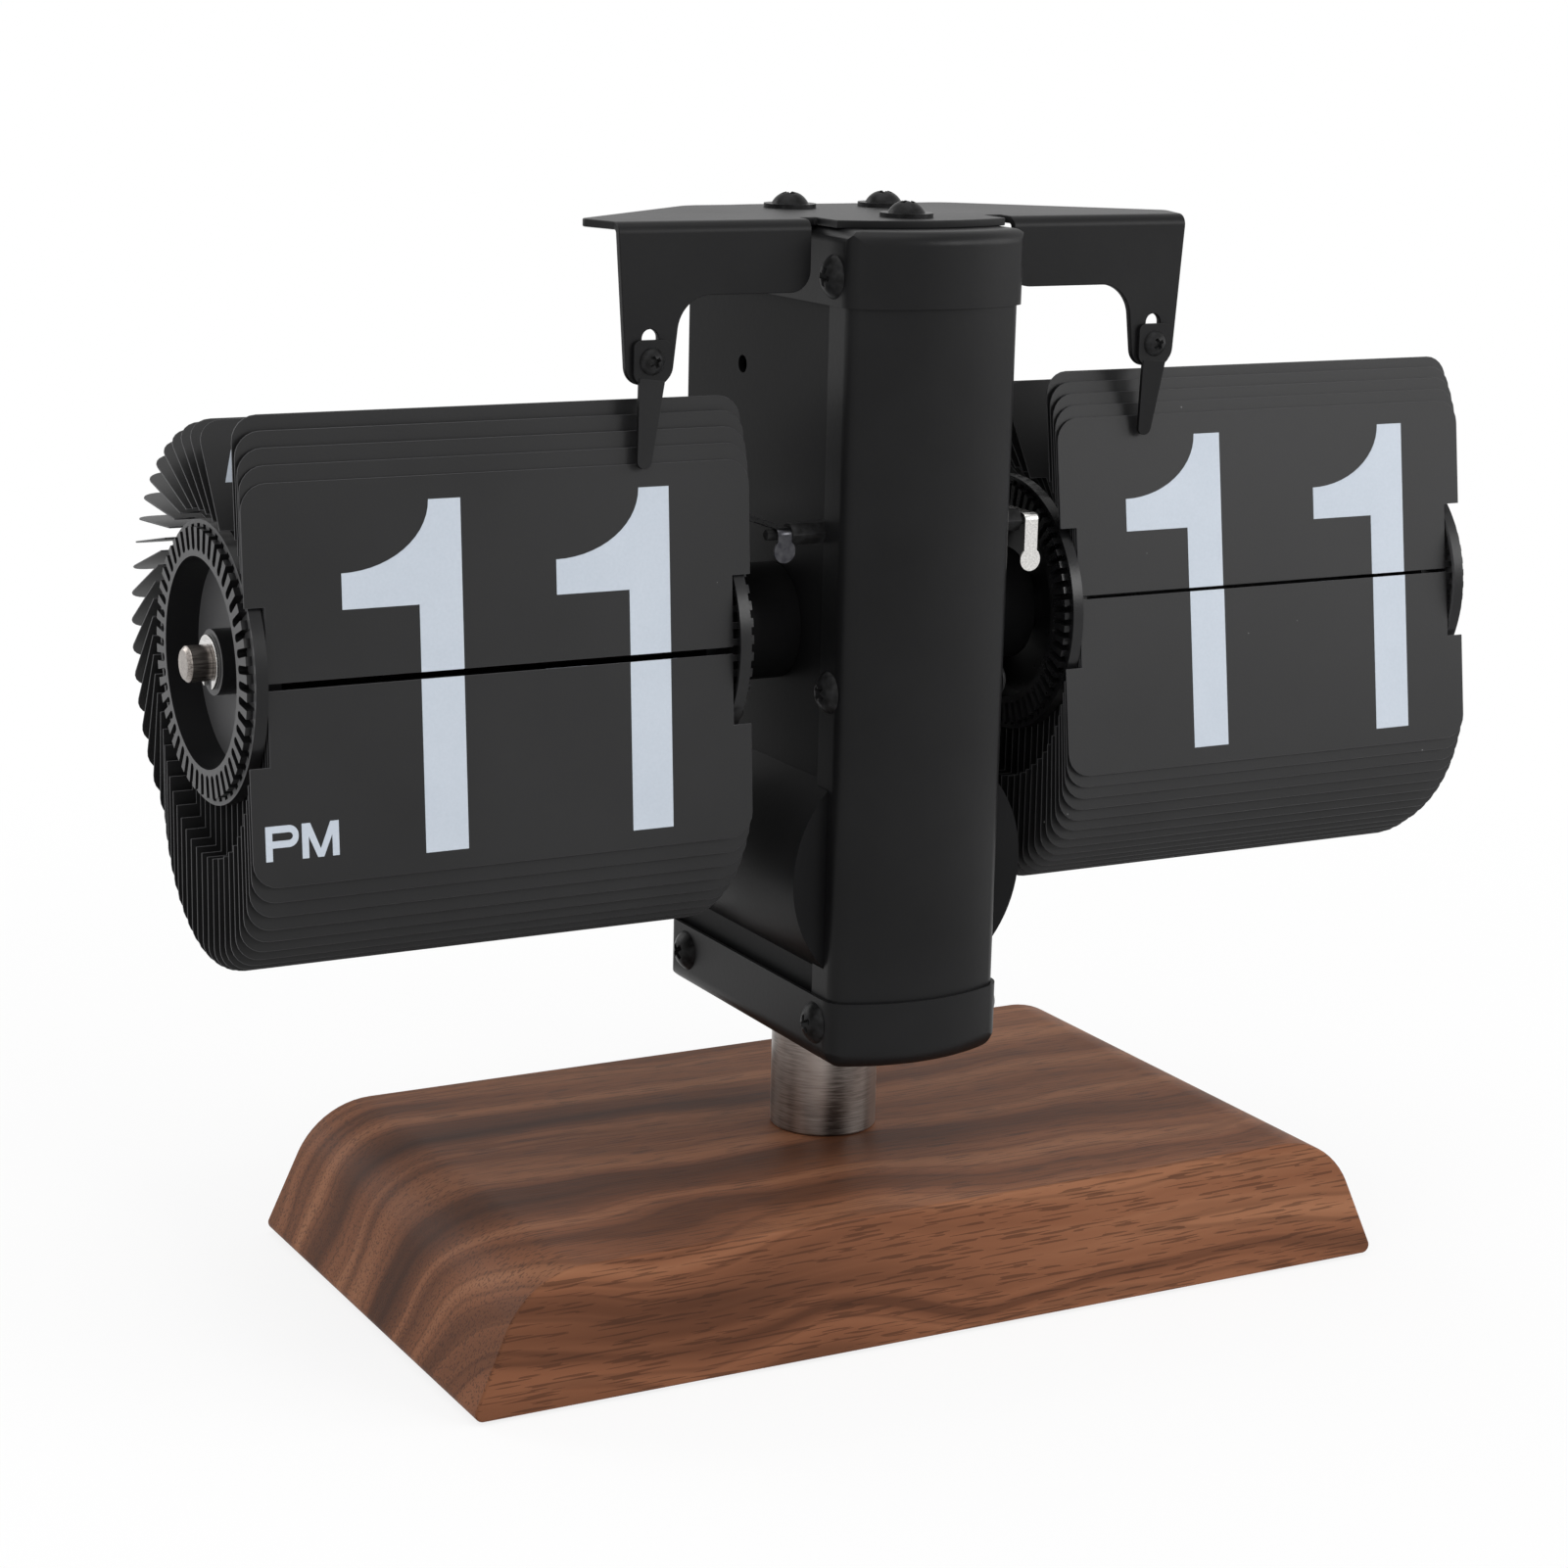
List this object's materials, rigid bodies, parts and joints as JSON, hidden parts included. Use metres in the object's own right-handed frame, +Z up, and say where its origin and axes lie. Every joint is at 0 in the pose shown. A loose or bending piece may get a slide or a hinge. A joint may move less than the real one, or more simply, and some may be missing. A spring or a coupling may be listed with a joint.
{
  "type": "flip clock",
  "caption": "Flip clock on a walnut base: a dark housing on a steel pillar carries an hour drum and a minute drum of black split flaps, driven by an inner gear train.",
  "frame": {"origin": "on the floor under the axis of the pillar tube", "axes": "+X along the drum axle to the right as seen from the front, +Y to the back, +Z up"},
  "size_m": [0.2052, 0.0857, 0.1617],
  "materials": {
    "walnut": "oiled",
    "pad_black": "matte",
    "steel": "brushed",
    "spring_steel": "bright",
    "housing_black": "satin",
    "cover_black": "satin",
    "screw_dark": "satin",
    "wheel_black": "gloss",
    "flap_black": "satin",
    "brass": "turned",
    "gear_white": "moulded",
    "cell_sleeve": "gloss",
    "board_green": "lacquered"
  },
  "bodies": {
    "clock_frame": {"walnut_base": "walnut", "base_pad": "pad_black", "pillar_tube": "steel", "pillar_bolt": "steel", "pillar_nut": "steel", "drive_motor": "steel", "motor_bracket": "steel", "motor_screws": "steel", "front_contact": "spring_steel", "hour_leaf_spring": "spring_steel", "minute_leaf_spring": "spring_steel", "bottom_cap": "housing_black", "top_cap": "housing_black", "front_column": "housing_black", "top_bracket": "housing_black", "left_side_cover": "cover_black", "right_side_cover": "cover_black", "rear_cover": "cover_black", "hour_boss": "cover_black", "minute_boss": "cover_black", "side_screws": "screw_dark", "bracket_screws": "screw_dark", "spring_posts": "screw_dark", "hour_flaps_upright": "flap_black", "hour_flaps_fan": "flap_black", "hour_flaps_hanging": "flap_black", "minute_flaps_upright": "flap_black", "minute_flaps_fan": "flap_black", "minute_flaps_hanging": "flap_black", "hour_bushing": "brass", "minute_bushing": "brass", "change_bushings": "brass", "battery_cell": "cell_sleeve", "circuit_board": "board_green"},
    "minute_drum": {"minute_shaft": "steel", "minute_gear": "gear_white", "minute_pinion": "gear_white", "minute_inner_wheel": "wheel_black", "minute_outer_wheel": "wheel_black", "minute_sleeve": "wheel_black", "minute_clip": "steel"},
    "hour_drum": {"hour_shaft": "steel", "hour_gear": "gear_white", "hour_inner_wheel": "wheel_black", "hour_outer_wheel": "wheel_black", "hour_sleeve": "wheel_black", "hour_clip": "steel"},
    "change_gear": {"change_arbor": "steel", "change_wheel": "gear_white", "change_pinion": "brass"},
    "motor_gear": {"motor_shaft": "steel", "motor_pinion": "brass"},
    "hour_front_flap": {"hour_front_flap": "flap_black"},
    "minute_front_flap": {"minute_front_flap": "flap_black"},
    "battery_cap": {"battery_cap": "cover_black", "battery_spring": "spring_steel"},
    "hour_finger": {"hour_finger": "housing_black", "hour_finger_screw": "spring_steel"},
    "minute_finger": {"minute_finger": "housing_black", "minute_finger_screw": "spring_steel"}
  },
  "joints": [
    {"name": "minute_drum_spin", "type": "hinge", "parent": "clock_frame", "child": "minute_drum", "pos_m": [0, -0.0043, 0.1005], "axis": [1, 0, 0], "continuous": true},
    {"name": "hour_drum_spin", "type": "hinge", "parent": "clock_frame", "child": "hour_drum", "pos_m": [0, -0.0043, 0.1005], "axis": [1, 0, 0], "continuous": true},
    {"name": "change_gear_spin", "type": "hinge", "parent": "clock_frame", "child": "change_gear", "pos_m": [0, -0.0043, 0.1155], "axis": [1, 0, 0], "continuous": true},
    {"name": "motor_gear_spin", "type": "hinge", "parent": "clock_frame", "child": "motor_gear", "pos_m": [0, 0.0107, 0.1005], "axis": [1, 0, 0], "continuous": true},
    {"name": "hour_flap_fall", "type": "hinge", "parent": "clock_frame", "child": "hour_front_flap", "pos_m": [0, -0.02195, 0.09914], "axis": [-1, 0, 0], "range_deg": [0, 160]},
    {"name": "minute_flap_fall", "type": "hinge", "parent": "clock_frame", "child": "minute_front_flap", "pos_m": [0, -0.02183, 0.10291], "axis": [-1, 0, 0], "range_deg": [0, 160]},
    {"name": "battery_cap_pull", "type": "slide", "parent": "clock_frame", "child": "battery_cap", "axis": [0, 1, 0], "range_m": [0, 0.015]},
    {"name": "hour_finger_set", "type": "slide", "parent": "clock_frame", "child": "hour_finger", "axis": [0, 0, 1], "range_m": [-0.0008, 0.0004]},
    {"name": "minute_finger_set", "type": "slide", "parent": "clock_frame", "child": "minute_finger", "axis": [0, 0, 1], "range_m": [-0.0008, 0.0004]}
  ],
  "couplings": [
    {"joint": "hour_drum_spin", "follows": "minute_drum_spin", "ratio": 0.041667},
    {"joint": "change_gear_spin", "follows": "minute_drum_spin", "ratio": -0.25},
    {"joint": "motor_gear_spin", "follows": "minute_drum_spin", "ratio": -4}
  ]
}
